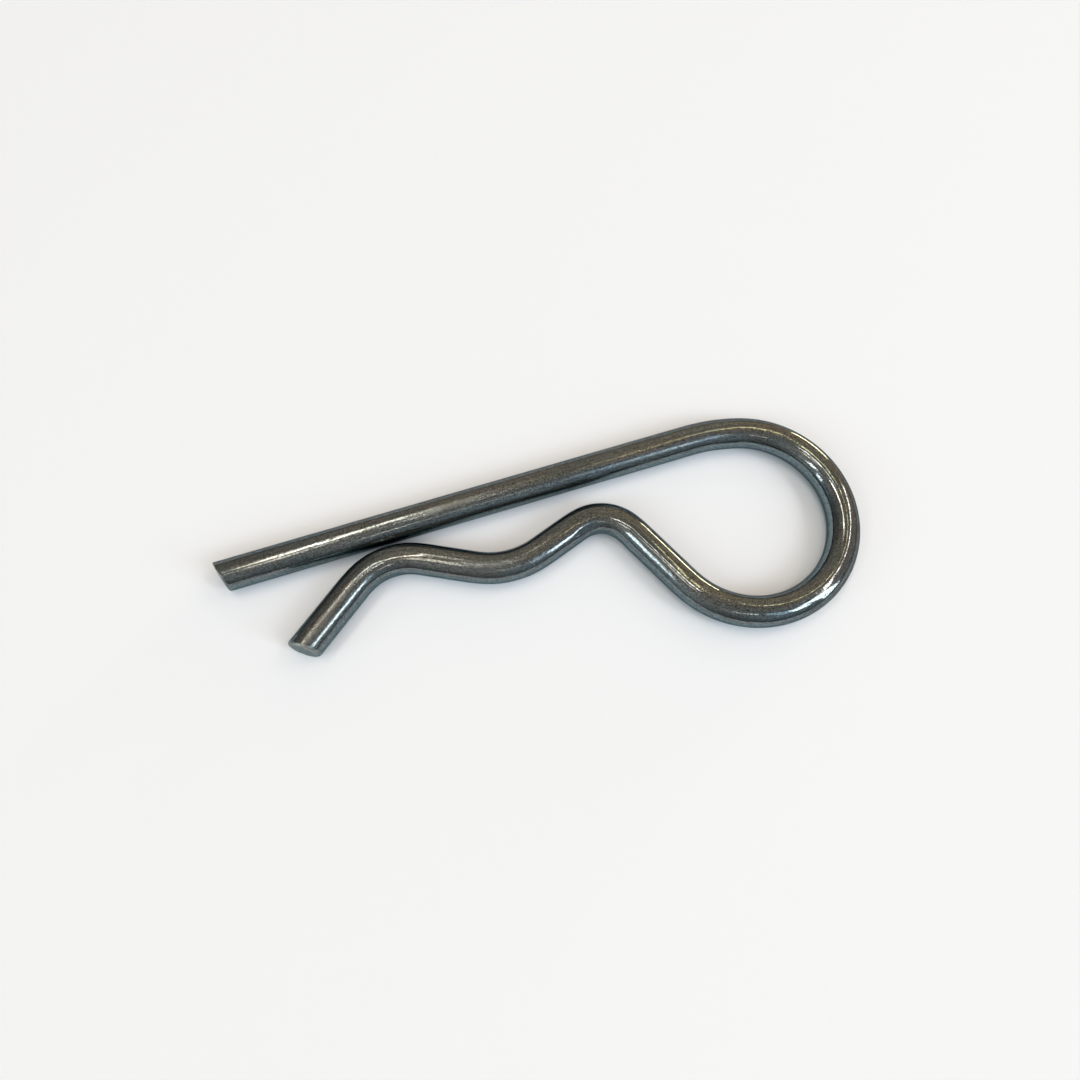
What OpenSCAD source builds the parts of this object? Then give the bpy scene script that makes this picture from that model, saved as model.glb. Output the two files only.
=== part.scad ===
// Hitch R clip: a spring retaining clip bent from one length of round wire.
// The straight pin leg goes through the cross hole of a shaft, and the wavy spring leg snaps over the
// shaft's outside. The round eye between them is the spring, and a finger pulls the clip out by it.
// The clip lies flat: the pin leg runs along X, the wire rests on z = 0, and the origin is under the
// middle of the clip's outline.

/* [Wire] */
// Diameter of the spring wire
wire_d = 4; // [2.5:0.1:6]
// How much thinner the wire is drawn where it is bent
bend_neck = 0.04; // [0.02:0.01:0.1]

/* [Pin leg] */
// Length of the straight leg, from the middle of its cut end to the first bend
leg_len = 61.6; // [50:0.1:80]

/* [Eye] */
// Inside radius of the slight bend that leads from the pin leg into the eye
lead_in_r = 20; // [10:0.5:30]
// How far the slight bend turns the wire
lead_turn = 13; // [5:1:30]
// Straight wire between the slight bend and the eye
lead_run = 1; // [0.5:0.1:3]
// Inside diameter of the round eye
eye_d = 20; // [14:0.5:28]
// Straight wire that crosses from the eye back towards the pin leg
eye_run = 9.4; // [4:0.1:16]

/* [Spring leg] */
// Inside radius of the first crest, between the eye and the shaft's seat
crest_1_in_r = 3; // [2:0.1:6]
// Open gap between the pin leg and the first crest
crest_1_gap = 2.5; // [1.5:0.1:3.5]
// Straight wire from the first crest down into the seat
seat_run = 6; // [2:0.1:10]
// Diameter of the largest shaft that the clip closes on without being sprung open
shaft_d = 14.5; // [12:0.1:20]
// How much wider than that shaft the seat is curved, on the radius
seat_ease = 1.35; // [0.5:0.05:4]
// Straight wire from the seat up to the second crest
mouth_run = 6.9; // [2:0.1:12]
// Inside radius of the second crest, which rides over the shaft
crest_2_in_r = 5.9; // [3:0.1:9]
// Gap between the second crest and the pin leg that it all but rests on
rest_gap = 0.2; // [0.1:0.05:1]
// Angle at which the tail flares away from the pin leg
tail_flare = 37; // [20:1:60]
// Length of the straight tail, to the middle of its cut end
tail_len = 9.9; // [6:0.1:20]

/* [Cut ends] */
// How far off square the wire is sheared, seen from above
shear_slant = 18; // [0:1:30]
// How far the sheared faces lean back from the floor
shear_lean = 10; // [0:1:20]
// Depth of the corner that the shear rolls over where it enters the wire
shear_rollover = 0.35; // [0.1:0.05:0.6]

/* [Hidden] */
$fn = 64;

wire_r = wire_d / 2;
bent_r = (wire_d - bend_neck) / 2;
// Length of bent wire that is carried on inside the straight wire next to it
lap = 0.2;
// Spare wire past the middle of each cut end, for the shear to take off
spare = wire_d;

// Centreline radius of each bend
lead_r = lead_in_r + wire_r;
eye_r = eye_d / 2 + wire_r;
crest_1_r = crest_1_in_r + wire_r;
seat_r = shaft_d / 2 + seat_ease + wire_r;
crest_2_r = crest_2_in_r + wire_r;

// How far the centreline of each bend swings away from that of the pin leg
eye_depth = lead_r * (1 - cos(lead_turn)) + lead_run * sin(lead_turn) + eye_r * (1 + cos(lead_turn));
crest_1_depth = wire_d + crest_1_gap;
seat_depth = shaft_d / 2 + wire_r;
crest_2_depth = wire_d + rest_gap;

// Two opposite bends with a straight run between them: the slope of that run against the pin leg, from
// the sum of the two radii, the run and the difference in depth. The run is tangent to both bends.
function slope(radii, run, drop) = acos((radii - drop) / norm([radii, run])) - atan2(run, radii);

eye_slope = slope(eye_r + crest_1_r, eye_run, eye_depth - crest_1_depth);
seat_slope = slope(crest_1_r + seat_r, seat_run, seat_depth - crest_1_depth);
mouth_slope = slope(seat_r + crest_2_r, mouth_run, seat_depth - crest_2_depth);

// The bending schedule, from the pin leg's cut end to the tail's. Each row is a straight run, the
// centreline radius of the bend after it, and that bend's turn, anticlockwise when positive.
BENDS = [
    [leg_len, lead_r, -lead_turn],
    [lead_run, eye_r, -(180 - lead_turn + eye_slope)],
    [eye_run, crest_1_r, eye_slope + seat_slope],
    [seat_run, seat_r, -(seat_slope + mouth_slope)],
    [mouth_run, crest_2_r, mouth_slope + tail_flare],
    [tail_len, 0, 0]
];

// A pose on the centreline is [x, y, heading]. Each row of the schedule takes the wire to its next pose.
function along(pose, run) = [pose[0] + run * cos(pose[2]), pose[1] + run * sin(pose[2]), pose[2]];
function to_side(pose, offset) = [pose[0] - offset * sin(pose[2]), pose[1] + offset * cos(pose[2])];
function turned(pose, radius, turn) =
    let (centre = to_side(pose, sign(turn) * radius), heading = pose[2] + turn)
    [
        centre[0] + sign(turn) * radius * sin(heading),
        centre[1] - sign(turn) * radius * cos(heading),
        heading
    ];
function pose_after(pose, row) = turned(along(pose, row[0]), row[1], row[2]);
function pose_at(i) = i == 0 ? [0, 0, 0] : pose_after(pose_at(i - 1), BENDS[i - 1]);

eye_centre = to_side(along(pose_at(1), lead_run), -eye_r);
tail_end = pose_at(len(BENDS));

// How far a sheared end reaches past the middle of its cut, for a wire that leaves in one direction and
// a reach measured in another
function shear_reach(heading, direction) =
    let (off = direction - heading)
    wire_r * norm([sin(off) - tan(shear_slant) * cos(off), tan(shear_lean) / cos(shear_slant) * cos(off)]);

x_min = min(-shear_reach(180, 180), tail_end[0] - shear_reach(tail_end[2], 180));
x_max = eye_centre[0] + eye_r + bent_r;
y_min = min(eye_centre[1] - eye_r - bent_r, tail_end[1] - shear_reach(tail_end[2], -90));
y_max = wire_r;
middle = [(x_min + x_max) / 2, (y_min + y_max) / 2, -wire_r];

// Straight wire, from the origin along X
module straight(run) {
    rotate([0, 90, 0]) cylinder(r = wire_r, h = run);
}

// Bent wire, from the origin, where it leaves along X
module bend(radius, turn) {
    start = turn > 0 ? -90 : 90 + turn;
    lap_turn = lap / radius * 180 / PI;
    translate([0, sign(turn) * radius, 0])
        rotate(start - lap_turn)
            rotate_extrude(angle = abs(turn) + 2 * lap_turn)
                translate([radius, 0])
                    circle(r = bent_r);
}

// What the shear takes off the end of a wire that runs along X to the origin: all that lies past the
// slanted face, and the rolled corner on the side where the blade enters
module shear() {
    reach = 3 * wire_d;
    rotate([0, -shear_lean, shear_slant])
        translate([0, -reach / 2, -reach / 2])
            cube(reach);
    translate([-wire_r * tan(shear_slant), wire_r, 0])
        rotate((90 + shear_slant) / 2)
            translate([-shear_rollover, -reach / 2, -reach / 2])
                cube(reach);
}

module at_pose(pose) {
    translate([pose[0], pose[1], 0])
        rotate(pose[2])
            children();
}

// One row of the bending schedule: the straight run, with the spare wire of an end, and the bend after it
module formed(i) {
    run = BENDS[i][0];
    before = i == 0 ? spare : 0;
    after = i == len(BENDS) - 1 ? spare : 0;
    translate([-before, 0, 0])
        straight(before + run + after);
    if (BENDS[i][2] != 0)
        translate([run, 0, 0])
            bend(BENDS[i][1], BENDS[i][2]);
}

module clip() {
    color("silver")
        translate(-middle)
            difference() {
                for (i = [0:len(BENDS) - 1])
                    at_pose(pose_at(i))
                        formed(i);
                at_pose([0, 0, 180])
                    shear();
                at_pose(tail_end)
                    shear();
            }
}

clip();
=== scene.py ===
"""Hitch R clip: a spring retaining clip bent from one length of round wire, plated with zinc.

The clip lies flat on a pale floor under soft studio light. Its shape is a bending schedule, as it is on a
wire bender: straight runs with a bend after each, then a sheared end on the slant. The mesh is the drawn
wire carried along that schedule, with what bending, shearing and handling do to it.
"""

import logging
import math
from collections.abc import Mapping, Sequence
from dataclasses import dataclass
from enum import Enum
from typing import Any

import bmesh
import bpy
import numpy as np
from mathutils import Matrix, Vector


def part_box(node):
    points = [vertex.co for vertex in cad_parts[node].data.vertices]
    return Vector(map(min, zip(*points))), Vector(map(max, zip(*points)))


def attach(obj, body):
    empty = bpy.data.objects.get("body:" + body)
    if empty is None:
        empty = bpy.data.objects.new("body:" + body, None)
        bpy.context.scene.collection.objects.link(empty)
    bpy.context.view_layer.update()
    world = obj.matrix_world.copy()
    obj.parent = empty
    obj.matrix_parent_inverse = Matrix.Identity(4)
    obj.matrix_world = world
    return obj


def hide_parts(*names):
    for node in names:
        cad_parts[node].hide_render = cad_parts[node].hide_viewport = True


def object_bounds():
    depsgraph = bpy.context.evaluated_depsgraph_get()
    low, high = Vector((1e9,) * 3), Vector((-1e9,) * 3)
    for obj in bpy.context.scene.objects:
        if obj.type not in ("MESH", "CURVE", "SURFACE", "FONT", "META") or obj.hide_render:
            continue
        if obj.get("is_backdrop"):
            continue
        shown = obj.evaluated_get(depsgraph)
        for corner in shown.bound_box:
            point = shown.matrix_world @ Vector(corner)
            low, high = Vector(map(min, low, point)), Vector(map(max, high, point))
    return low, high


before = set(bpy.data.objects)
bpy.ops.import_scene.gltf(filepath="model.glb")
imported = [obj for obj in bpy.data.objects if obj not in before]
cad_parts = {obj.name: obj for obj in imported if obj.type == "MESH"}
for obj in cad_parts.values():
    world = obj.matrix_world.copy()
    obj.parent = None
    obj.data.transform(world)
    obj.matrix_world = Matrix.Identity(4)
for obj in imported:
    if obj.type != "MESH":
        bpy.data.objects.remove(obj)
CAD_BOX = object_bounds()

Number = float | int
Pair = tuple[float, float]
Triple = tuple[float, float, float]
Colour = Triple
Grid = np.ndarray
Row = list[bmesh.types.BMVert]

LOG = logging.getLogger("hitch_clip")
MM = 0.001
PIECE = "spring_clip_wire"
CAD_NODE = "clip"
BODY = "root"
WIRE_PLACE = "wire_place"
WEAR_AND_SHADE = "wear"
POLISH = "polish"
BURR_AND_HIGHLIGHT = "burr_and_highlight"
BAKE_MAP = "OFBake"
FINE_STEP = 0.05  # millimetres along the wire


# ----------------------------------------
# Shader graphs
# ----------------------------------------


class Signal:
    """One output of a shader graph that takes part in Python arithmetic."""

    def __init__(self, book: "NodeBook", socket: bpy.types.NodeSocket) -> None:
        """Holds a socket and the book its nodes are drawn in."""
        self.book = book
        self.socket = socket

    def _math(self, operation: str, *values: "Signal | Number") -> "Signal":
        """The output of a Math node, given its operation and its inputs in order."""
        return self.book.node("ShaderNodeMath", {"operation": operation}, dict(enumerate(values)))

    def __add__(self, other: "Signal | Number") -> "Signal":
        """The sum."""
        return self._math("ADD", self, other)

    def __radd__(self, other: Number) -> "Signal":
        """The sum, with the number first."""
        return self._math("ADD", other, self)

    def __sub__(self, other: "Signal | Number") -> "Signal":
        """The difference."""
        return self._math("SUBTRACT", self, other)

    def __rsub__(self, other: Number) -> "Signal":
        """The difference, with the number first."""
        return self._math("SUBTRACT", other, self)

    def __mul__(self, other: "Signal | Number") -> "Signal":
        """The product."""
        return self._math("MULTIPLY", self, other)

    def __rmul__(self, other: Number) -> "Signal":
        """The product, with the number first."""
        return self._math("MULTIPLY", other, self)

    def __rpow__(self, other: Number) -> "Signal":
        """A number to this power."""
        return self._math("POWER", other, self)

    def between(self, low: Number, high: Number) -> "Signal":
        """Rises smoothly from 0 at low to 1 at high, or falls where low is above high.

        Args:
            low: the value that gives 0.
            high: the value that gives 1.

        Returns:
            The mask.
        """
        settings = {"interpolation_type": "SMOOTHSTEP", "clamp": True}
        falls = low > high
        sockets = {"Value": self, "From Min": min(low, high), "From Max": max(low, high)}
        sockets |= {"To Min": 1.0 if falls else 0.0, "To Max": 0.0 if falls else 1.0}
        return self.book.node("ShaderNodeMapRange", settings, sockets)


class NodeBook:
    """Draws the nodes of one material or world."""

    def __init__(self, tree: bpy.types.NodeTree) -> None:
        """Starts with an empty tree."""
        self.tree = tree
        tree.nodes.clear()

    def node(
        self,
        kind: str,
        settings: Mapping[str, Any] | None = None,
        sockets: Mapping[str | int, Any] | None = None,
        out: str | int = 0,
    ) -> Signal:
        """Adds a node.

        Args:
            kind: the node's type.
            settings: its own settings, which are made before its inputs are filled.
            sockets: numbers, colours or signals for its inputs, by name or number.
            out: the output that is wanted.

        Returns:
            That output. A node without outputs gives its first input.
        """
        made = self.tree.nodes.new(kind)
        for name, value in (settings or {}).items():
            setattr(made, name, value)
        for name, value in (sockets or {}).items():
            socket = made.inputs[name]
            if isinstance(value, Signal):
                self.tree.links.new(value.socket, socket)
            else:
                socket.default_value = self._fitted(socket, value)
        return Signal(self, made.outputs[out] if made.outputs else made.inputs[0])

    @staticmethod
    def _fitted(socket: bpy.types.NodeSocket, value: Any) -> Any:
        """A colour with the alpha that a colour socket wants, or the value itself."""
        return (*value, 1.0) if socket.type == "RGBA" and len(value) == 3 else value

    def mix(self, share: Signal | Number, first: Signal | Colour, second: Signal | Colour) -> Signal:
        """A mix of two colours, all of the first where the share is 0 and of the second where it is 1."""
        settings = {"data_type": "RGBA", "blend_type": "MIX"}
        return self.node("ShaderNodeMix", settings, {0: share, 6: first, 7: second}, out=2)

    def dimmed(self, colour: Signal | Colour, share: Signal | Number) -> Signal:
        """A colour times a number."""
        return self.node("ShaderNodeVectorMath", {"operation": "SCALE"}, {0: colour, "Scale": share})

    def attribute(self, name: str, out: str = "Fac") -> Signal:
        """One of the mesh's own layers."""
        return self.node("ShaderNodeAttribute", {"attribute_name": name}, None, out)

    def bump(self, height: Signal, unit: float) -> Signal:
        """The normal that a height gives, with the height in units of so many metres."""
        return self.node("ShaderNodeBump", None, {"Strength": 1.0, "Distance": unit, "Height": height})


@dataclass(frozen=True)
class Cloud:
    """A cloudy noise around 0.5: a factor for each axis, its features in a millimetre and its finer layers.

    The first axis runs along the wire, so a small factor there draws the noise out into streaks.
    """

    factors: Triple
    scale: float
    detail: float
    roughness: float

    def drawn(self, book: NodeBook, place: Signal) -> Signal:
        """Draws the noise.

        Args:
            book: where its nodes go.
            place: the wire's own coordinates, in millimetres.

        Returns:
            The noise.
        """
        place = book.node("ShaderNodeVectorMath", {"operation": "MULTIPLY"}, {0: place, 1: self.factors})
        sockets = {"Vector": place, "Scale": self.scale, "Detail": self.detail}
        sockets["Roughness"] = self.roughness
        return book.node("ShaderNodeTexNoise", {"noise_dimensions": "3D"}, sockets)


class Finish:
    """What every finish shares: a material of that name and its node book."""

    name: str

    def started(self) -> tuple[bpy.types.Material, NodeBook]:
        """Makes the empty material.

        Returns:
            The material and the book of its nodes.
        """
        material = bpy.data.materials.new(self.name)
        material.use_nodes = True
        return material, NodeBook(material.node_tree)

    @staticmethod
    def finished(book: NodeBook, sockets: Mapping[str, Any]) -> None:
        """Fills the inputs of a surface shader and joins it to the material's output."""
        shader = book.node("ShaderNodeBsdfPrincipled", None, sockets)
        book.node("ShaderNodeOutputMaterial", None, {"Surface": shader})


@dataclass(frozen=True)
class ZincPlate(Finish):
    """Zinc plate on drawn wire, dulled by handling, with die lines, grain, rubbed patches, pits, stains and
    patches of painted shade.

    The colour is lighter and bluer low on the wire: a painted reflection of the floor. Each edge is the two
    values between which a mask rises or falls, each shade is how much a noise lightens the colour, and
    depths and heights are in millimetres.
    """

    name: str = "zinc_plate"
    cool: Colour = (0.150, 0.172, 0.181)
    warm: Colour = (0.164, 0.172, 0.172)
    # Lighter and bluer than the rest: a painted reflection of the floor on the low flanks
    low: Colour = (0.152, 0.202, 0.218)
    bare_and_shade: Colour = (0.060, 0.052, 0.045)
    edge_tint: Colour = (0.38, 0.41, 0.42)
    patches: Cloud = Cloud((0.20, 1.0, 1.0), 0.60, 3.0, 0.55)
    lines: Cloud = Cloud((0.035, 1.0, 1.0), 3.4, 2.0, 0.5)
    mottle: Cloud = Cloud((0.40, 1.0, 1.0), 2.6, 3.0, 0.6)
    grain: Cloud = Cloud((0.62, 1.0, 1.0), 8.0, 2.0, 0.7)
    tooth: Cloud = Cloud((0.62, 1.0, 1.0), 5.6, 0.0, 0.5)
    specks: Cloud = Cloud((0.62, 1.0, 1.0), 4.2, 1.0, 0.5)
    warm_edge: Pair = (0.36, 0.64)
    painted_reflection_edge: Pair = (1.3, 0.5)
    shade_edge: Pair = (0.30, 0.70)
    patch_edge: Pair = (0.40, 0.62)
    mottle_edge: Pair = (0.38, 0.66)
    pit_edge: Pair = (0.68, 0.74)
    grain_shade: float = 3.20
    mottle_shade: float = 0.16
    line_shade: float = 0.24
    darkening: float = 0.80
    pit_stain: float = 0.60
    wear_stain: float = 0.85
    bright: float = 0.085
    dull: float = 0.30
    wear_dull: float = 0.25
    patch_share: float = 0.55
    least_rubbed: float = 0.35
    least_coarse: float = 0.30
    die_lines: float = 0.010
    grain_depth: float = 0.0085
    ripple: float = 0.0025
    pit_depth: float = 0.006

    def make(self) -> bpy.types.Material:
        """Draws the nodes.

        Returns:
            The material.
        """
        material, book = self.started()
        place = book.attribute(WIRE_PLACE, "Vector")
        wear, polish = book.attribute(WEAR_AND_SHADE), book.attribute(POLISH)
        clouds = (self.patches, self.lines, self.mottle, self.grain, self.tooth, self.specks)
        patches, lines, mottle, grain, tooth, specks = (cloud.drawn(book, place) for cloud in clouds)
        pits = specks.between(*self.pit_edge)
        raw = 1 - polish

        base = book.mix(patches.between(*self.warm_edge), self.cool, self.warm)
        # Painted reflection of the floor: the colour turns lighter and bluer from just above the middle down
        above = book.node("ShaderNodeSeparateXYZ", None, {"Vector": place}, "Z")
        base = book.mix(above.between(*self.painted_reflection_edge), base, self.low)
        shade = self.grain_shade * grain + self.mottle_shade * mottle.between(*self.shade_edge)
        shade = shade + self.line_shade * lines.between(*self.shade_edge) - self.darkening
        base = book.dimmed(base, shade)
        base = book.mix(pits * self.pit_stain, base, self.bare_and_shade)
        # Nicks darken the colour as real stains, scuffs as painted shade over the lamps' highlights
        base = book.mix(wear * self.wear_stain, base, self.bare_and_shade)

        rubbed = patches.between(*self.patch_edge) * self.patch_share
        rubbed = rubbed + mottle.between(*self.mottle_edge) * (1 - self.patch_share)
        rubbed = self.least_rubbed + (1 - self.least_rubbed) * rubbed
        rough = self.bright + (self.dull - self.bright) * raw * rubbed + self.wear_dull * wear

        coarse = self.least_coarse + (1 - self.least_coarse) * raw
        height = (self.grain_depth * tooth + self.ripple * mottle) * coarse
        height = height + self.die_lines * lines - self.pit_depth * pits
        sockets = {
            "Base Color": base,
            "Metallic": 1.0,
            "Roughness": rough,
            "Specular Tint": self.edge_tint,
            "Normal": book.bump(height, MM),
        }
        self.finished(book, sockets)
        return material


@dataclass(frozen=True)
class ShearedFace(Finish):
    """The cut end of the wire, plated too: dull, with drag lines from the blade, tears, and fresh metal on
    the rim painted light as a highlight.

    Each edge is the two values between which a mask rises, and the relief is in millimetres.
    """

    name: str = "sheared_face"
    plated: Colour = (0.200, 0.240, 0.252)
    torn: Colour = (0.140, 0.168, 0.176)
    # Light and warm: fresh metal, painted as the warm highlight along the rim
    fresh_and_highlight: Colour = (0.720, 0.650, 0.570)
    edge_tint: Colour = (0.62, 0.68, 0.68)
    drag: Cloud = Cloud((1.0, 0.25, 1.0), 5.0, 2.0, 0.6)
    tear: Cloud = Cloud((1.0, 1.0, 1.0), 3.4, 4.0, 0.65)
    torn_edge: Pair = (0.38, 0.64)
    fresh_and_highlight_edge: Pair = (0.25, 0.60)
    smooth: float = 0.22
    tear_dull: float = 0.22
    burr_and_highlight_dull: float = 0.20
    drag_height: float = 0.5
    tear_height: float = 0.8
    relief: float = 0.012

    def make(self) -> bpy.types.Material:
        """Draws the nodes.

        Returns:
            The material.
        """
        material, book = self.started()
        place, burr_and_highlight = book.attribute(WIRE_PLACE, "Vector"), book.attribute(BURR_AND_HIGHLIGHT)
        drag, tear = self.drag.drawn(book, place), self.tear.drawn(book, place)
        base = book.mix(tear.between(*self.torn_edge), self.plated, self.torn)
        # The rim's fresh metal, painted light as a highlight and broken up by the drag lines
        base = book.mix(burr_and_highlight * drag.between(*self.fresh_and_highlight_edge), base, self.fresh_and_highlight)
        height = self.drag_height * drag + self.tear_height * tear
        sockets = {
            "Base Color": base,
            "Metallic": 1.0,
            "Roughness": self.smooth + self.tear_dull * tear + self.burr_and_highlight_dull * burr_and_highlight,
            "Specular Tint": self.edge_tint,
            "Normal": book.bump(height, self.relief * MM),
        }
        self.finished(book, sockets)
        return material


@dataclass(frozen=True)
class PaleFloor(Finish):
    """A plain near-white table."""

    name: str = "pale_floor"
    colour: Colour = (0.865, 0.895, 0.97)

    def make(self) -> bpy.types.Material:
        """Draws the nodes.

        Returns:
            The material.
        """
        material, book = self.started()
        self.finished(book, {"Base Color": self.colour, "Roughness": 1.0, "Specular IOR Level": 0.0})
        return material


# ----------------------------------------
# The bent wire
# ----------------------------------------


class Turn(Enum):
    """Which way a bend turns the wire, seen from above and going from the pin leg to the tail."""

    LEFT = 1
    RIGHT = -1


class WireEnd(Enum):
    """One end of the wire: -1 where its outside lies before the schedule, 1 where it lies after."""

    LEG = -1
    TAIL = 1


class Slot(Enum):
    """The material slots of the clip's mesh."""

    PLATE = 0
    CUT = 1


def off_by(angle: Grid, degrees: float) -> Grid:
    """How far angles are from one in degrees, in radians and the short way round."""
    return (angle - math.radians(degrees) + np.pi) % (2 * np.pi) - np.pi


def bell(width: float, step: float, reach: int) -> Grid:
    """Weights that smooth values a step apart and add up to 1, with so many on each side of the middle."""
    weight = np.exp(-0.5 * (np.arange(-reach, reach + 1) * step / width) ** 2)
    return weight / weight.sum()


@dataclass(frozen=True)
class Bend:
    """A straight run of wire and the bend after it, in millimetres and degrees."""

    run: float
    radius: float
    angle: float
    turn: Turn


@dataclass(frozen=True)
class Path:
    """The wire's centreline, at even steps of length, in millimetres."""

    length: Grid
    point: Grid

    def at(self, length: Grid) -> tuple[Grid, Grid]:
        """Places on the centreline.

        Args:
            length: how far along the wire each is.

        Returns:
            Their points and the unit directions of the wire there.
        """
        step = self.length[1] - self.length[0]
        run = np.gradient(self.point, step, axis=0)
        run /= np.linalg.norm(run, axis=1)[:, None]
        point, way = (
            np.stack([np.interp(length, self.length, grid[:, axis]) for axis in (0, 1)], -1)
            for grid in (self.point, run)
        )
        return point, way / np.linalg.norm(way, axis=-1, keepdims=True)


@dataclass
class BendingSchedule:
    """How the clip is bent: the sizes of its pin leg, eye and spring leg, in millimetres and degrees.

    Four of them are fits: the eye's width, the first crest's gap to the pin leg, the seat for half a shaft
    and the second crest's gap. The slopes between the bends follow from those.
    """

    wire_d: float = 4.0
    leg_len: float = 61.6
    lead_in_r: float = 20.0
    lead_turn: float = 13.0
    lead_run: float = 1.0
    eye_d: float = 20.0
    eye_run: float = 9.4
    crest_1_in_r: float = 3.0
    crest_1_gap: float = 2.5
    seat_run: float = 6.0
    shaft_d: float = 14.5
    seat_ease: float = 1.35
    mouth_run: float = 6.9
    crest_2_in_r: float = 5.9
    rest_gap: float = 0.2
    tail_flare: float = 37.0
    tail_len: float = 9.9
    easing: float = 0.6

    @staticmethod
    def slope(radii: float, run: float, drop: float) -> float:
        """The slope of a straight run between two opposite bends.

        Args:
            radii: the sum of the two centreline radii.
            run: the length of the run.
            drop: how much deeper one bend swings than the other.

        Returns:
            The slope against the pin leg, in degrees.
        """
        return math.degrees(math.acos((radii - drop) / math.hypot(radii, run)) - math.atan2(run, radii))

    def bends(self) -> list[Bend]:
        """The schedule from the pin leg's cut end to the tail's.

        Returns:
            Its rows. The last has no bend.
        """
        wire_r = self.wire_d / 2
        lead_r, eye_r = self.lead_in_r + wire_r, self.eye_d / 2 + wire_r
        crest_1_r, crest_2_r = self.crest_1_in_r + wire_r, self.crest_2_in_r + wire_r
        seat_r = self.shaft_d / 2 + self.seat_ease + wire_r
        lead = math.radians(self.lead_turn)
        eye_depth = lead_r * (1 - math.cos(lead)) + self.lead_run * math.sin(lead)
        eye_depth += eye_r * (1 + math.cos(lead))
        crest_1_depth = self.wire_d + self.crest_1_gap
        crest_2_depth = self.wire_d + self.rest_gap
        seat_depth = self.shaft_d / 2 + wire_r
        from_eye = self.slope(eye_r + crest_1_r, self.eye_run, eye_depth - crest_1_depth)
        to_seat = self.slope(crest_1_r + seat_r, self.seat_run, seat_depth - crest_1_depth)
        to_mouth = self.slope(seat_r + crest_2_r, self.mouth_run, seat_depth - crest_2_depth)
        return [
            Bend(self.leg_len, lead_r, self.lead_turn, Turn.RIGHT),
            Bend(self.lead_run, eye_r, 180 - self.lead_turn + from_eye, Turn.RIGHT),
            Bend(self.eye_run, crest_1_r, from_eye + to_seat, Turn.LEFT),
            Bend(self.seat_run, seat_r, to_seat + to_mouth, Turn.RIGHT),
            Bend(self.mouth_run, crest_2_r, to_mouth + self.tail_flare, Turn.LEFT),
            Bend(self.tail_len, 1.0, 0.0, Turn.LEFT),
        ]

    def arcs(self) -> list[tuple[float, float, Bend]]:
        """Where each bend starts and ends along the wire.

        Returns:
            Start, end and bend, for each row that turns the wire.
        """
        found, at = [], 0.0
        for bend in self.bends():
            start = at + bend.run
            at = start + bend.radius * math.radians(bend.angle)
            if bend.angle:
                found.append((start, at, bend))
        return found

    def total(self) -> float:
        """The length of the wire along its middle."""
        return sum(b.run + b.radius * math.radians(b.angle) for b in self.bends())

    def curvature(self, length: Grid) -> Grid:
        """How sharply the wire turns, to the left when positive.

        Args:
            length: places along the wire.

        Returns:
            The turn in radians for a millimetre of wire.
        """
        bent = np.zeros_like(length)
        for start, end, bend in self.arcs():
            bent[(length >= start) & (length < end)] = bend.turn.value / bend.radius
        return bent

    def centreline(self, spare: float = 8.0, step: float = 0.02) -> Path:
        """The middle of the wire, eased a little where a bend starts and ends, with the leg's end at 0, 0.

        Args:
            spare: straight wire past both ends.
            step: how far apart its points are.

        Returns:
            The path.
        """
        length = np.arange(-spare, self.total() + spare, step)
        heading = np.cumsum(self.curvature(length - step / 2)) * step
        move = np.stack([np.cos(heading), np.sin(heading)], -1) * step
        point = np.cumsum(move, axis=0)
        point -= point[np.searchsorted(length, 0.0)]
        reach = int(4 * self.easing / step)
        weights = bell(self.easing, step, reach)
        eased = [np.convolve(point[:, axis], weights, "valid") for axis in (0, 1)]
        return Path(length[reach:-reach], np.stack(eased, -1))


class Unevenness:
    """A smooth, seeded roughness over the wire that meets itself round the section."""

    MOST_ROUND = 8

    def __init__(self, seed: int, waves: int, longest: float, shortest: float) -> None:
        """Draws the waves.

        Args:
            seed: which set of waves.
            waves: how many.
            longest: the longest wave along the wire, in millimetres.
            shortest: the shortest.
        """
        draw = np.random.default_rng(seed)
        self.around = draw.integers(0, self.MOST_ROUND + 1, waves)
        self.along = 2 * np.pi / np.exp(draw.uniform(np.log(shortest), np.log(longest), waves))
        self.phase = draw.uniform(0, 2 * np.pi, (waves, 2))

    def at(self, length: Grid, angle: Grid) -> Grid:
        """The roughness, mostly between -1 and 1.

        Args:
            length: places along the wire.
            angle: angles round its section.

        Returns:
            The height at each.
        """
        total = np.zeros(np.broadcast(length, angle).shape)
        for around, along, (first, second) in zip(self.around, self.along, self.phase):
            total += np.cos(around * angle + first) * np.sin(along * length + second)
        return total / math.sqrt(len(self.along) / 4)


@dataclass(frozen=True)
class Press:
    """A flat that a bending tool pressed into the wire.

    Its middle is at a length along the wire and an angle round the section, in degrees from the left of the
    wire's run. It has a half length, a depth, and a softness for its edge.
    """

    length: float
    angle: float
    half: float
    depth: float
    soft: float
    least_facing: float = 0.05

    def height(self, radius: float, length: Grid, angle: Grid) -> Grid:
        """How far the pressed wire's surface is from its middle.

        Args:
            radius: the wire's own radius.
            length: places along the wire.
            angle: angles round the section.

        Returns:
            The distance: the flat's where it reaches, and the wire's own elsewhere.
        """
        fade = np.exp(-(((length - self.length) / self.half) ** 4))
        facing = np.maximum(np.cos(off_by(angle, self.angle)), self.least_facing)
        flat = (radius - self.depth * fade) / facing
        # A smooth minimum of the flat and the round wire leaves an edge of the wanted softness
        share = np.clip(0.5 + (radius - flat) / (2 * self.soft), 0, 1)
        return radius + (flat - radius) * share - self.soft * share * (1 - share)


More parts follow.
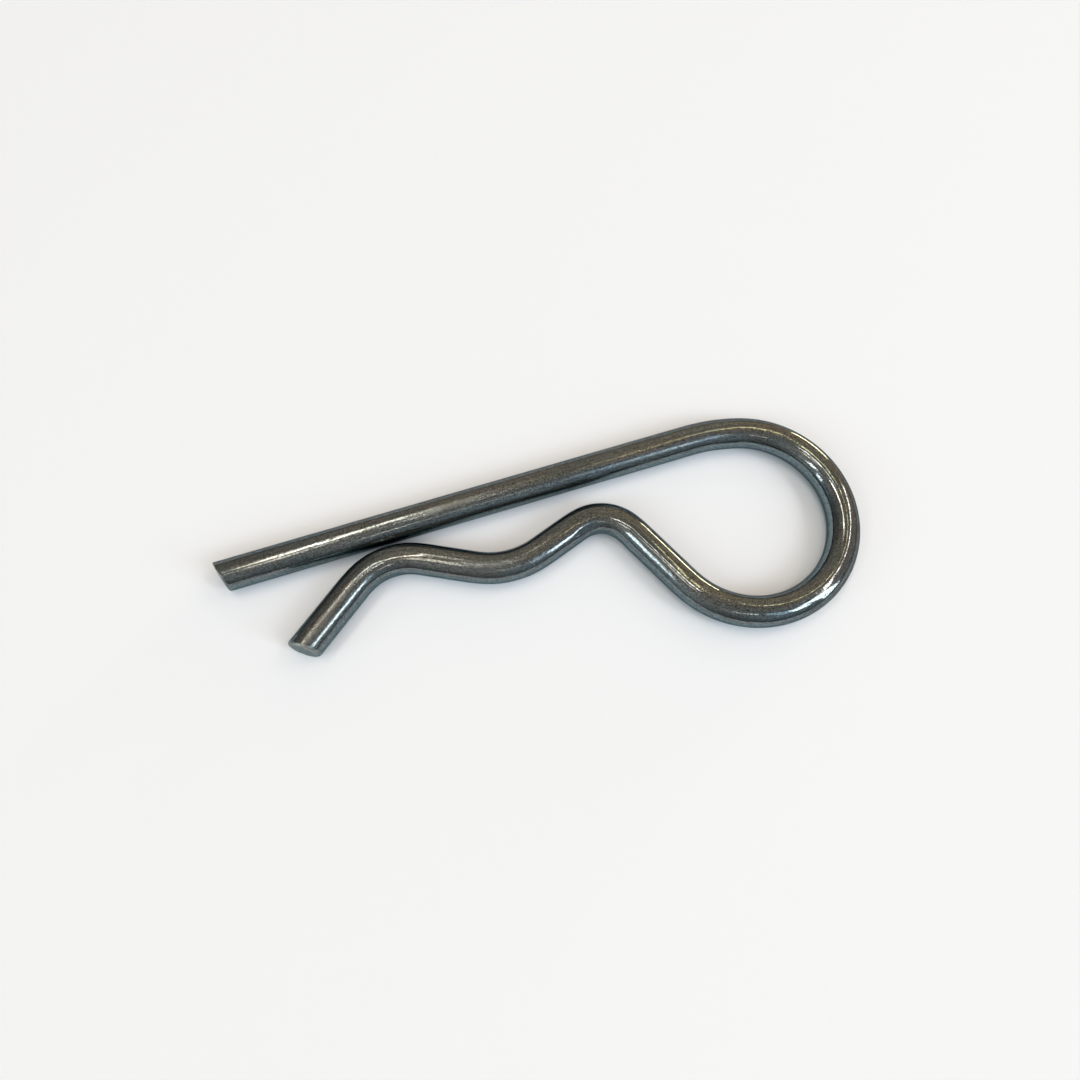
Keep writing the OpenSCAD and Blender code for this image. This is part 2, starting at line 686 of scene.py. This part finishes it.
@dataclass(frozen=True)
class Mark:
    """A small mark on the wire: a dark nick, or a scuffed patch that is duller than the rest and painted
    darker.

    Its middle is at a length along the wire and an angle round the section, in degrees. Its half sizes and
    its depth are in millimetres. The stain darkens it, fully from 1 up: a real stain on a nick, and painted
    shade over the lamps' highlights on a scuff. The scuff takes away its polish.
    """

    length: float
    angle: float
    half_along: float
    half_across: float
    depth: float
    stain_and_shade: float = 0.0
    scuff: float = 0.0

    def mask(self, radius: float, length: Grid, angle: Grid) -> Grid:
        """How far each place is inside the mark.

        Args:
            radius: the wire's radius.
            length: places along the wire.
            angle: angles round the section.

        Returns:
            1 in its middle and 0 outside.
        """
        along = (length - self.length) / self.half_along
        across = off_by(angle, self.angle) * radius / self.half_across
        return np.exp(-(along**2 + across**2))


@dataclass(frozen=True)
class BurrAndHighlight:
    """Fresh metal on a rim, painted light as a highlight: its middle and half width round the section in
    degrees, and how much shows.
    """

    middle: float
    half: float
    most: float

    def at(self, angle: Grid) -> Grid:
        """How much of it shows at an angle round the section."""
        return self.most * np.exp(-(((angle - math.radians(self.middle)) / math.radians(self.half)) ** 4))


@dataclass
class ShearedEnd:
    """One sheared end of the wire, in millimetres and degrees.

    The cut slants across the wire and leans back from its bottom. The rim is rounded all round, most on the
    side where the blade pushed the metal over, and a little more on the heel opposite. The tear step parts
    the cleanly cut half of the face from the torn one.
    """

    end: WireEnd
    wire_r: float
    slant: float = 18.0
    lean: float = 10.0
    rim: float = 0.16
    rollover: float = 0.42
    rollover_turn: float = 0.25
    heel: float = 0.10
    # Where the rim is painted light as a highlight over fresh metal
    burr_and_highlight: BurrAndHighlight = BurrAndHighlight(48.0, 46.0, 1.0)
    tear_step: float = 0.05
    tear_from: float = 0.35
    drag_depth: float = 0.018
    tear_depth: float = 0.012
    face_share: float = 0.86
    rim_steps: int = 7
    face_steps: int = 14

    def retreat(self, across: Grid, up: Grid) -> Grid:
        """How far inside the nominal end the cut lies, at places across and above the wire's middle."""
        slant, lean = math.radians(self.slant), math.radians(self.lean)
        return math.tan(slant) * self.end.value * across + math.tan(lean) / math.cos(slant) * up

    def rim_size(self, angle: Grid) -> Grid:
        """The size of the rounding round the rim: largest where the blade pushed the metal over.

        Args:
            angle: angles round the section, from the left of the wire's run.

        Returns:
            How far the rounding reaches in from the sharp corner.
        """
        from_toe = angle - (0 if self.end is WireEnd.TAIL else np.pi)
        pushed = np.clip(np.cos(from_toe - self.rollover_turn * self.end.value), 0, 1)
        behind = np.clip(-np.cos(from_toe), 0, 1)
        return self.rim + (self.rollover - self.rim) * pushed**1.5 + self.heel * behind**3

    def relief(self, across: Grid, up: Grid) -> Grid:
        """The unevenness of the cut face.

        Args:
            across: places to the left of the wire's run.
            up: places above its middle.

        Returns:
            How far the face dips into the wire.
        """
        side = self.end.value * across
        fade = np.clip(1 - (across**2 + up**2) / (self.face_share * self.wire_r) ** 2, 0, 1)
        dip = self.tear_step * np.tanh(3 * (side - self.tear_from))
        dip = dip + self.drag_depth * np.sin(5.1 * up + 2.0 * side)
        return fade**0.5 * (dip + self.tear_depth * np.sin(9.3 * side + 4.1 * up + 1.3))

    def rows(self, angle: Grid, radius: Grid) -> tuple[Grid, Grid, Grid]:
        """The rings of the rim and the cut face, from the side of the wire to the middle of the face.

        Args:
            angle: angles round the section.
            radius: the wire's radius at each.

        Returns:
            For each ring and angle, how far inside the nominal end it lies and its distance from the middle,
            and for each ring its share of the way in. The first ring is the side's own.
        """
        way = np.stack([np.cos(angle), np.sin(angle)])
        size = self.rim_size(angle)
        face = radius - size
        corner, edge = self.retreat(*(way * radius)), self.retreat(*(way * face))
        rings = []
        # The rim is a quadratic curve from the side to the face, with its handle on the sharp corner
        for t in np.linspace(0, 1, self.rim_steps):
            inside = (1 - t) ** 2 * (corner + size) + 2 * t * (1 - t) * corner + t * t * edge
            rings.append((inside, radius - size * t * t))
        for share in np.linspace(1, 0, self.face_steps)[1:-1]:
            out = face * share
            rings.append((self.retreat(*(way * out)) + self.relief(*(way * out)), out))
        inside, out = (np.stack(grids) for grids in zip(*rings))
        return inside, out, np.linspace(0, 1, len(rings))


@dataclass(frozen=True)
class Rings:
    """The rings of the wire's skin, in order from the pin leg's cut face to the tail's.

    Each vertex has a length along the wire, a distance from its middle and an angle round it. Each ring says
    whether it is on a rim, and what share of the way from the side to the middle of a cut face it stands at.
    The side's own rings go from the first to the last.
    """

    length: Grid
    radius: Grid
    angle: Grid
    on_rim: Grid
    share: Grid
    first: int
    last: int


class WireMesh:
    """The clip's mesh while it is being made, with the layers that its finishes read."""

    def __init__(self) -> None:
        """Starts an empty mesh."""
        self.work = bmesh.new()
        layers = self.work.verts.layers
        self.place = layers.float_vector.new(WIRE_PLACE)
        self.wear, self.polish, self.burr_and_highlight = (layers.float.new(name) for name in (WEAR_AND_SHADE, POLISH, BURR_AND_HIGHLIGHT))
        self.uv = self.work.loops.layers.uv.new(BAKE_MAP)

    def face(self, corners: Sequence[tuple[bmesh.types.BMVert, Pair]], slot: Slot) -> None:
        """Adds a smooth face.

        Args:
            corners: its vertices, each with its place on the bake map.
            slot: its material slot.
        """
        face = self.work.faces.new([vert for vert, _ in corners])
        face.material_index = slot.value
        face.smooth = True
        for loop, (_, spot) in zip(face.loops, corners):
            loop[self.uv].uv = spot

    def finish(self) -> bpy.types.Object:
        """Turns the mesh into the piece.

        Returns:
            Its object, in the scene.
        """
        bmesh.ops.recalc_face_normals(self.work, faces=self.work.faces[:])
        mesh = bpy.data.meshes.new(PIECE)
        self.work.to_mesh(mesh)
        self.work.free()
        mesh.shade_smooth()
        piece = bpy.data.objects.new(PIECE, mesh)
        bpy.context.scene.collection.objects.link(piece)
        return piece


# How polished the wire is, by the length along it
POLISHED = (
    (0.0, 0.80), (21.0, 0.75), (26.0, 0.40), (46.0, 0.30), (60.0, 0.60), (68.0, 1.00), (127.0, 1.00),
    (131.0, 0.75), (141.0, 0.75), (143.0, 0.30), (147.0, 0.40), (149.0, 0.90), (157.0, 0.90),
    (161.0, 0.60), (172.0, 0.45),
)
# The flats of the bending tools, on the two crests
PRESSES = (
    Press(129.0, 8.0, 2.4, 0.12, 0.03),
    Press(132.2, 48.0, 1.7, 0.08, 0.004),
    Press(156.6, 93.0, 2.4, 0.055, 0.02),
    Press(158.3, 5.0, 2.6, 0.07, 0.02),
)
# Two nicks in the pin leg, then scuffs: duller, and darkened as painted shade where the lamps' highlights
# fall
MARKS = (
    Mark(14.3, 87.5, 0.22, 0.20, 0.01, stain_and_shade=1.8),
    Mark(47.0, 153.0, 0.22, 0.20, 0.01, stain_and_shade=1.2),
    Mark(30.0, 100.0, 5.0, 0.50, 0.0, stain_and_shade=0.35, scuff=0.80),
    Mark(119.0, 55.0, 7.5, 0.42, 0.0, stain_and_shade=0.15, scuff=0.45),
    Mark(144.5, 86.5, 3.4, 0.45, 0.0, stain_and_shade=0.35, scuff=0.80),
    Mark(167.0, 79.5, 6.5, 0.40, 0.0, stain_and_shade=0.50, scuff=0.80),
)


@dataclass
class ClipWire:
    """The whole clip: the drawn wire carried along its bending schedule, sheared at both ends.

    All of its sizes are in millimetres. One mesh stands for the clip, because the real thing is one wire.
    Its rings stand a straight step apart, or a bent step where it bends as sharply as the bent curvature. A
    bend makes the wire thinner, and squeezes it towards the inside. The bake map is a square page: the side
    lies on it in strips, and the ends are discs near its right edge.
    """

    schedule: BendingSchedule
    around: int = 112
    straight_step: float = 0.34
    bent_step: float = 0.20
    bent_curvature: float = 0.08
    thinning: float = 0.02
    full_strain: float = 0.16
    squeeze: float = 0.50
    shrink: float = 0.02
    waviness: float = 0.0012
    fast_share: float = 0.35
    end_blend: float = 5.0
    least_stain_and_shade: float = 0.01
    polished: tuple[Pair, ...] = POLISHED
    presses: tuple[Press, ...] = PRESSES
    marks: tuple[Mark, ...] = MARKS
    page: float = 52.0
    strips: int = 4
    strip_gap: float = 0.25
    disc_r: float = 2.7
    disc_inset: float = 3.4
    disc_heights: Pair = (4.0, 12.0)

    def __post_init__(self) -> None:
        """Works out what the fields imply."""
        self.wire_r = self.schedule.wire_d / 2
        self.total = self.schedule.total()
        self.path = self.schedule.centreline()
        self.lift = self.origin()
        # On the tail, glints painted along the top of the rim
        tail_burr_and_highlight = BurrAndHighlight(85.0, 60.0, 0.35)
        self.ends = (
            ShearedEnd(WireEnd.LEG, self.wire_r, rim=0.11, heel=0.06),
            ShearedEnd(WireEnd.TAIL, self.wire_r, lean=8.5, rim=0.34, heel=0.30, burr_and_highlight=tail_burr_and_highlight),
        )
        self.slow = Unevenness(11, 60, 9.0, 1.6)
        self.fast = Unevenness(12, 60, 2.6, 0.8)

    def stations(self) -> Grid:
        """Where the rings stand along the wire, closer together where it bends.

        Returns:
            Their lengths from the leg's end to the tail's.
        """
        fine = np.arange(0, self.total, FINE_STEP)
        bent = np.convolve(np.abs(self.schedule.curvature(fine)), bell(1.0, FINE_STEP, 60), "same")
        near = np.clip(bent / self.bent_curvature, 0, 1)
        step = self.straight_step + (self.bent_step - self.straight_step) * near
        count = np.concatenate([[0], np.cumsum(FINE_STEP / step)])
        rings = int(round(count[-1]))
        return np.interp(np.linspace(0, count[-1], rings + 1), count, np.append(fine, self.total))

    def strain(self, length: Grid) -> Grid:
        """How much the wire's outside is stretched where it is bent.

        Args:
            length: places along the wire.

        Returns:
            The stretch at each, positive where the wire turns left.
        """
        fine = np.arange(-2, self.total + 2, FINE_STEP)
        bent = np.convolve(self.schedule.curvature(fine), bell(0.7, FINE_STEP, 40), "same")
        return np.interp(length, fine, bent) * self.wire_r

    def section(self, length: Grid, angle: Grid) -> Grid:
        """The distance from the wire's middle to its surface.

        Bending thins the outside of the wire and swells the inside a little, and the tools press flats.

        Args:
            length: places along the wire.
            angle: angles round the section, from the left of the wire's run.

        Returns:
            The distance at each place.
        """
        strain = self.strain(length)
        inner = strain * np.cos(angle)
        radius = self.wire_r - self.thinning * np.clip(np.abs(strain) / self.full_strain, 0, 1)
        radius = radius + self.squeeze * inner * np.sin(angle) ** 2 - self.shrink * np.abs(inner)
        radius = np.broadcast_to(radius, np.broadcast(length, angle).shape).copy()
        for press in self.presses:
            radius += press.height(self.wire_r, length, angle) - self.wire_r
        for mark in self.marks:
            radius -= mark.depth * mark.mask(self.wire_r, length, angle)
        wavy = self.slow.at(length, angle) + self.fast_share * self.fast.at(length, angle)
        return radius + self.waviness * wavy

    def placed(self, length: Grid, angle: Grid, radius: Grid) -> Grid:
        """Points of the wire in the shared frame.

        Args:
            length: places along the wire's middle.
            angle: angles round the section.
            radius: distances from the middle.

        Returns:
            The points, in metres.
        """
        point, way = self.path.at(length)
        across = radius * np.cos(angle)
        flat = point + np.stack([-way[..., 1], way[..., 0]], -1) * across[..., None]
        up = radius * np.sin(angle)
        return np.concatenate([flat, up[..., None]], -1) * MM + self.lift

    def origin(self) -> Grid:
        """Where the schedule starts in the shared frame, from the clip's box.

        Returns:
            The place of the middle of the leg's cut end, in metres.
        """
        low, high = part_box(CAD_NODE)
        bent_r = self.wire_r - self.thinning
        reach = float(self.path.point[:, 0][self.path.length > self.schedule.leg_len].max()) + bent_r
        return np.array([high.x - reach * MM, high.y - self.wire_r * MM, low.z + self.wire_r * MM])

    def rings(self) -> Rings:
        """The rings of the wire's side, and of the rim and cut face at each end.

        Returns:
            The rings.
        """
        angle = np.linspace(0, 2 * np.pi, self.around, endpoint=False)
        base = self.stations()
        length = np.repeat(base[:, None], self.around, 1)
        radius = self.section(length, angle[None, :])
        caps = []
        for end, nominal, index in zip(self.ends, (0.0, self.total), (0, -1)):
            inside, out, share = end.rows(angle, radius[index])
            blend = np.clip(1 - np.abs(base - nominal) / self.end_blend, 0, 1)
            blend = blend * blend * (3 - 2 * blend)
            length = length - end.end.value * blend[:, None] * inside[0][None, :]
            on_rim = np.arange(1, len(share)) < end.rim_steps
            caps.append((nominal - end.end.value * inside[1:], out[1:], on_rim, share[1:]))
        leg, tail = caps
        side = (length, radius, np.zeros(len(base), bool), np.zeros(len(base)))
        length, radius, on_rim, share = (
            np.concatenate([inner[::-1], middle, outer]) for inner, middle, outer in zip(leg, side, tail)
        )
        angle = np.broadcast_to(angle, length.shape)
        first = len(leg[0])
        return Rings(length, radius, angle, on_rim, share, first, first + len(base) - 1)

    def build(self) -> bpy.types.Object:
        """Makes the mesh, with the wire's coordinates, wear with painted shade, polish, burr with painted
        highlight and bake map.

        Returns:
            The clip.
        """
        rings, mesh = self.rings(), WireMesh()
        rows = self.set_vertices(mesh, rings)
        self.skin(mesh, rows, rings)
        for end, row in zip(self.ends, (rows[0], rows[-1])):
            self.close(mesh, row, end, rings)
        return mesh.finish()

    def set_vertices(self, mesh: WireMesh, rings: Rings) -> list[Row]:
        """Makes the vertices of every ring, with what the finishes read there.

        Args:
            mesh: the mesh.
            rings: the wire's rings.

        Returns:
            The vertices, ring by ring.
        """
        length, angle, radius = rings.length, rings.angle, rings.radius
        point = self.placed(length, angle, radius)
        place = np.stack([length, radius * np.cos(angle), radius * np.sin(angle)], -1)
        masks = [(mark, mark.mask(self.wire_r, length, angle)) for mark in self.marks]
        # Real stains on the nicks, painted shade over the lamps' highlights on the scuffs
        stain_and_shade = sum((mark.stain_and_shade * mask for mark, mask in masks), np.zeros(length.shape))
        wear = np.where(stain_and_shade > self.least_stain_and_shade, np.minimum(stain_and_shade, 1.0), 0.0)
        polish = np.interp(length, *zip(*self.polished)) - sum(mark.scuff * mask for mark, mask in masks)
        burr_and_highlight = np.zeros(length.shape)
        on_leg = np.arange(len(length)) < rings.first
        for end, picked in zip(self.ends, (rings.on_rim & on_leg, rings.on_rim & ~on_leg)):
            burr_and_highlight[picked] = end.burr_and_highlight.at(angle[picked])
        rows = []
        for i in range(len(length)):
            row = []
            for j in range(self.around):
                vert = mesh.work.verts.new(point[i, j])
                vert[mesh.place] = place[i, j]
                vert[mesh.wear] = wear[i, j]
                vert[mesh.polish] = polish[i, j]
                vert[mesh.burr_and_highlight] = burr_and_highlight[i, j]
                row.append(vert)
            rows.append(row)
        return rows

    def skin(self, mesh: WireMesh, rows: list[Row], rings: Rings) -> None:
        """Joins the rings with faces, and lays them out on the bake map.

        Args:
            mesh: the mesh.
            rows: its vertices, ring by ring.
            rings: the wire's rings.
        """
        middle = rings.length.mean(1)
        for i in range(len(rows) - 1):
            on_side = rings.first <= i < rings.last
            along = (middle[i] + middle[i + 1]) / 2 / self.total
            strip = min(int(along * self.strips), self.strips - 1) if on_side else None
            for j in range(self.around):
                spots = ((i, j), (i + 1, j), (i + 1, j + 1), (i, j + 1))
                corners = [(rows[a][b % self.around], self.on_page(rings, a, b, strip)) for a, b in spots]
                mesh.face(corners, Slot.PLATE if on_side else Slot.CUT)

    def on_page(self, rings: Rings, ring: int, column: int, strip: int | None = None) -> Pair:
        """A vertex's place on the bake map.

        Args:
            rings: the wire's rings.
            ring: its ring.
            column: its place round the ring.
            strip: its strip of the side, if it isn't on the disc of an end.

        Returns:
            The place, as shares of the page.
        """
        turn = 2 * np.pi * column / self.around
        if strip is None:
            out = self.disc_r * (1 - float(rings.share[ring]))
            x = self.page - self.disc_inset + out * math.cos(turn)
            y = self.disc_heights[0 if ring <= rings.first else 1] + out * math.sin(turn)
        else:
            length = float(rings.length[ring, column % self.around])
            x = self.strip_gap + length - strip * self.total / self.strips
            y = self.strip_gap + strip * (2 * np.pi * self.wire_r + self.strip_gap) + turn * self.wire_r
        return x / self.page, y / self.page

    def close(self, mesh: WireMesh, row: Row, end: ShearedEnd, rings: Rings) -> None:
        """Closes the middle of a cut face with a fan.

        Args:
            mesh: the mesh.
            row: the innermost ring of the end.
            end: the end.
            rings: the wire's rings.
        """
        leg = end.end is WireEnd.LEG
        inside = float(end.relief(np.zeros(1), np.zeros(1))[0])
        length = np.array([inside if leg else self.total - inside])
        tip = mesh.work.verts.new(self.placed(length, np.zeros(1), np.zeros(1))[0])
        tip[mesh.place] = (float(length[0]), 0.0, 0.0)
        x, y = self.page - self.disc_inset, self.disc_heights[0 if leg else 1]
        middle = (x / self.page, y / self.page)
        ring = 0 if leg else len(rings.length) - 1
        rim = [(vert, self.on_page(rings, ring, column)) for column, vert in enumerate(row)]
        for before, after in zip(rim, rim[1:] + rim[:1]):
            fan = (before, after, (tip, middle))
            mesh.face(fan if leg else fan[::-1], Slot.CUT)

    def dress(self, clip: bpy.types.Object) -> None:
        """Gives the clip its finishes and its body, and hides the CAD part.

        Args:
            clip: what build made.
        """
        for finish in (ZincPlate(), ShearedFace()):
            clip.data.materials.append(finish.make())
        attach(clip, BODY)
        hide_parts(CAD_NODE)


# ----------------------------------------
# The studio
# ----------------------------------------


def towards(down: float, around: float) -> Vector:
    """The unit vector towards a place on the dome, by degrees from straight up and round from +X."""
    fall, turn = math.radians(down), math.radians(around)
    return Vector((math.sin(fall) * math.cos(turn), math.sin(fall) * math.sin(turn), math.cos(fall)))


@dataclass(frozen=True)
class Lamp:
    """A soft panel, by the directions of its two ends from the clip, its width and its brightness.

    Directions are degrees from straight up and degrees round from +X. The width is in degrees too, the
    distance in metres, and the brightness is what the panel would show in a mirror.
    """

    name: str
    start: Pair
    stop: Pair
    width: float
    radiance: float
    colour: Colour
    distance: float = 1.2

    def build(self, centre: Vector, level: float) -> bpy.types.Object:
        """Hangs the panel.

        Args:
            centre: what it faces.
            level: how bright the whole studio is.

        Returns:
            The lamp.
        """
        start, stop = towards(*self.start), towards(*self.stop)
        middle = (start + stop).normalized()
        long = (stop - start).normalized()
        long = (long - middle * long.dot(middle)).normalized()
        reach = 2 * math.tan(start.angle(stop) / 2) * self.distance
        across = 2 * math.tan(math.radians(self.width) / 2) * self.distance
        data = bpy.data.lights.new(self.name, "AREA")
        data.shape = "RECTANGLE"
        data.size, data.size_y = reach, across
        data.energy = level * self.radiance * math.pi * reach * across
        data.color = self.colour
        lamp = bpy.data.objects.new(self.name, data)
        turn = Matrix((long, middle.cross(long), middle)).transposed().to_4x4()
        lamp.matrix_world = Matrix.Translation(centre + middle * self.distance) @ turn
        lamp.visible_camera = False
        bpy.context.scene.collection.objects.link(lamp)
        return lamp


@dataclass(frozen=True)
class Glow:
    """A soft patch of the room, by its direction in degrees from straight up and round from +X."""

    down: float
    around: float
    tightness: float
    colour: Colour


@dataclass
class Studio:
    """A pale floor, a soft grey room, its panels and tubes, and the camera.

    The camera's offset from the middle of the clip is in millimetres, and so are its lens and sensor. Its
    right and back are directions in the shared frame.
    """

    floor_r: float = 4.0
    floor_sides: int = 96
    level: float = 1.0
    room: Colour = (0.055, 0.058, 0.055)
    camera_offset: Triple = (-9.80, -19.49, 83.59)
    camera_right: Triple = (0.9520, -0.3057, 0.0176)
    camera_back: Triple = (-0.1076, -0.2800, 0.9539)
    lens: float = 23.333
    sensor: float = 36.0
    near: float = 1.0
    far: float = 10000.0

    def glows(self) -> list[Glow]:
        """The room's soft patches.

        Returns:
            One glow for each.
        """
        return [
            Glow(0.0, 0.0, 2.5, (0.25, 0.205, 0.145)),
            Glow(60.0, 60.0, 3.5, (0.41, 0.345, 0.25)),
            Glow(48.0, 206.0, 5.5, (0.50, 0.52, 0.51)),
            Glow(58.0, 285.0, 8.0, (0.24, 0.31, 0.35)),
            Glow(62.0, 335.0, 4.5, (0.17, 0.225, 0.30)),
            Glow(80.0, 100.0, 4.5, (0.14, 0.13, 0.125)),
            Glow(85.0, 190.0, 9.0, (0.17, 0.30, 0.325)),
            Glow(75.0, 15.0, 5.0, (0.32, 0.15, 0.01)),
        ]

    def lamps(self) -> list[Lamp]:
        """The panels and tubes.

        Returns:
            One lamp for each, from overhead down.
        """
        white, warm = (1.0, 0.90, 0.83), (1.0, 0.88, 0.73)
        amber, gold = (1.0, 0.87, 0.54), (1.0, 0.84, 0.44)
        cool, teal, blue = (0.91, 0.99, 1.0), (0.80, 0.97, 1.0), (0.62, 0.82, 1.0)
        return [
            Lamp("ceiling_panel", (19.5, 156.0), (19.0, 121.0), 5.0, 12.5, warm),
            Lamp("ceiling_panel_end", (19.5, 119.0), (27.0, 101.0), 6.0, 8.0, warm),
            Lamp("ceiling_haze", (27.5, 100.0), (25.0, 82.0), 5.0, 2.5, warm),
            Lamp("ceiling_patch", (22.0, 218.0), (12.0, 182.0), 5.0, 3.0, warm),
            Lamp("ceiling_tube", (6.3, 252.0), (4.3, 112.0), 1.4, 20.0, white),
            Lamp("ceiling_tube_end", (4.3, 112.0), (11.5, 94.0), 1.4, 9.0, white),
            Lamp("gold_tube", (13.5, 23.0), (22.0, 28.5), 1.1, 11.0, gold),
            Lamp("gold_tube_end", (22.0, 28.5), (33.0, 33.5), 1.1, 7.0, gold),
            Lamp("side_tube", (33.5, 6.0), (57.0, 13.0), 3.0, 10.5, white),
            Lamp("side_tube_low", (31.0, 3.0), (42.0, 334.0), 2.5, 11.5, white),
            Lamp("cool_panel", (40.0, 322.0), (76.0, 322.0), 11.0, 7.0, cool),
            Lamp("cool_panel_side", (44.0, 307.0), (59.0, 306.0), 9.0, 6.5, cool),
            Lamp("blue_wall", (36.0, 295.0), (54.0, 294.0), 9.0, 1.2, blue),
            Lamp("cool_window", (41.0, 194.0), (58.0, 202.0), 6.5, 7.5, cool),
            Lamp("cool_window_low", (61.0, 185.0), (73.0, 184.0), 9.0, 6.5, teal),
            Lamp("small_window", (38.5, 266.0), (38.8, 279.0), 1.3, 5.0, white),
            Lamp("small_spot", (37.0, 262.0), (40.5, 261.0), 3.5, 5.0, warm),
            Lamp("low_gold", (81.0, 29.5), (92.0, 29.5), 14.0, 15.0, amber),
        ]

    def build(self) -> None:
        """Makes the room, floor, lamps and camera."""
        low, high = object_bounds()
        centre = (low + high) / 2
        self.make_floor(low.z)
        self.make_room()
        for lamp in self.lamps():
            lamp.build(centre, self.level)
            LOG.info("lamp %s", lamp.name)
        self.make_camera()

    def make_floor(self, height: float) -> None:
        """Lays the floor.

        Args:
            height: where the clip's underside is.
        """
        work = bmesh.new()
        bmesh.ops.create_circle(work, cap_ends=True, radius=self.floor_r, segments=self.floor_sides)
        mesh = bpy.data.meshes.new("floor")
        work.to_mesh(mesh)
        work.free()
        floor = bpy.data.objects.new("floor", mesh)
        floor.location.z = height
        mesh.materials.append(PaleFloor().make())
        bpy.context.scene.collection.objects.link(floor)
        floor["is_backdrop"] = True

    def make_room(self) -> None:
        """Gives the world a dim even colour with a soft patch towards each glow."""
        world = bpy.data.worlds.new("room")
        world.use_nodes = True
        bpy.context.scene.world = world
        book = NodeBook(world.node_tree)
        way = book.node("ShaderNodeTexCoord", None, None, "Generated")
        colour: Signal | Colour = self.room
        for glow in self.glows():
            facing = {0: way, 1: tuple(towards(glow.down, glow.around))}
            near = book.node("ShaderNodeVectorMath", {"operation": "DOT_PRODUCT"}, facing, "Value")
            patch = book.dimmed(glow.colour, math.e ** ((near - 1) * glow.tightness))
            colour = book.node("ShaderNodeVectorMath", {"operation": "ADD"}, {0: colour, 1: patch})
        shader = book.node("ShaderNodeBackground", None, {"Color": colour, "Strength": self.level})
        book.node("ShaderNodeOutputWorld", None, {"Surface": shader})

    def make_camera(self) -> None:
        """Stands the camera over the clip."""
        low, high = CAD_BOX
        centre = (low + high) / 2
        back = Vector(self.camera_back).normalized()
        right = Vector(self.camera_right)
        right = (right - back * right.dot(back)).normalized()
        data = bpy.data.cameras.new("camera")
        data.sensor_width, data.lens = self.sensor, self.lens
        data.clip_start, data.clip_end = self.near * MM, self.far * MM
        camera = bpy.data.objects.new("camera", data)
        turn = Matrix((right, back.cross(right), back)).transposed().to_4x4()
        camera.matrix_world = Matrix.Translation(centre + Vector(self.camera_offset) * MM) @ turn
        bpy.context.scene.collection.objects.link(camera)
        bpy.context.scene.camera = camera


def main() -> None:
    """Builds the clip and the studio, in order."""
    logging.basicConfig(level=logging.INFO, format="%(name)s: %(message)s")
    bpy.context.scene.view_settings.view_transform = "Standard"
    wire = ClipWire(BendingSchedule())
    clip = wire.build()
    wire.dress(clip)
    LOG.info("piece %s: %d faces", clip.name, len(clip.data.polygons))
    Studio().build()


if __name__ == "__main__":
    main()
